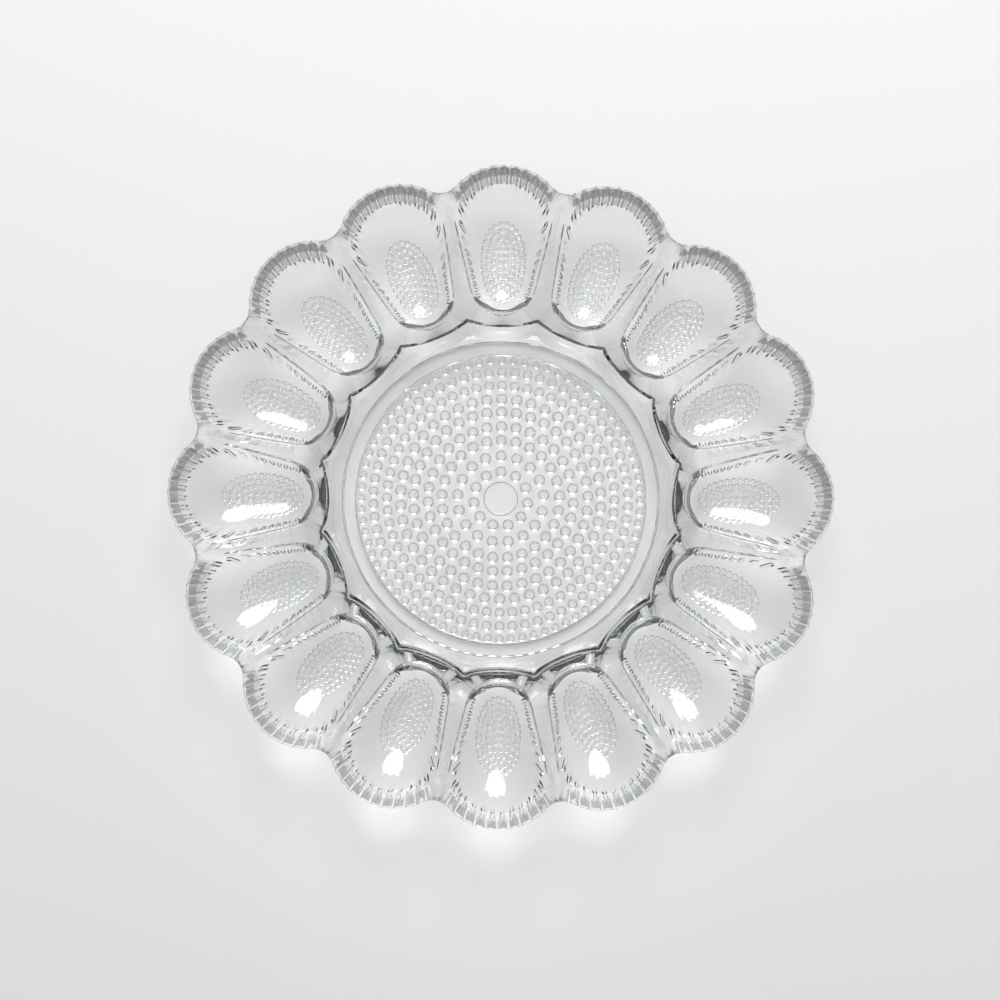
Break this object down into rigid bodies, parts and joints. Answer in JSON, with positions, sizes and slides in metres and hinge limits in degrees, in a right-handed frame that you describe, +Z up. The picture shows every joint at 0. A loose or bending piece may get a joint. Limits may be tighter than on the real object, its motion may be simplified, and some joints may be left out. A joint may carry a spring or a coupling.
{
  "type": "deviled egg platter",
  "caption": "Round clear pressed-glass platter with a scalloped rim of egg-shaped cups round a flat hobnail centre, for serving deviled eggs.",
  "frame": {"origin": "centre of the circle that the foot ring rests on, on the table's surface", "axes": "+Z up, out of the well; +Y through the middle of cup 1; the cups are numbered clockwise from above"},
  "size_m": [0.3048, 0.3048, 0.03],
  "materials": {
    "glass": "clear soda-lime glass, pressed in a mould and fire polished, with soft waves in the surface"
  },
  "bodies": {
    "root": {"centre_floor": "glass", "centre_hobnails": "glass", "foot_ring": "glass", "egg_cup_01": "glass", "egg_cup_02": "glass", "egg_cup_03": "glass", "egg_cup_04": "glass", "egg_cup_05": "glass", "egg_cup_06": "glass", "egg_cup_07": "glass", "egg_cup_08": "glass", "egg_cup_09": "glass", "egg_cup_10": "glass", "egg_cup_11": "glass", "egg_cup_12": "glass", "egg_cup_13": "glass", "egg_cup_14": "glass", "egg_cup_15": "glass", "egg_cup_16": "glass"}
  },
  "joints": []
}
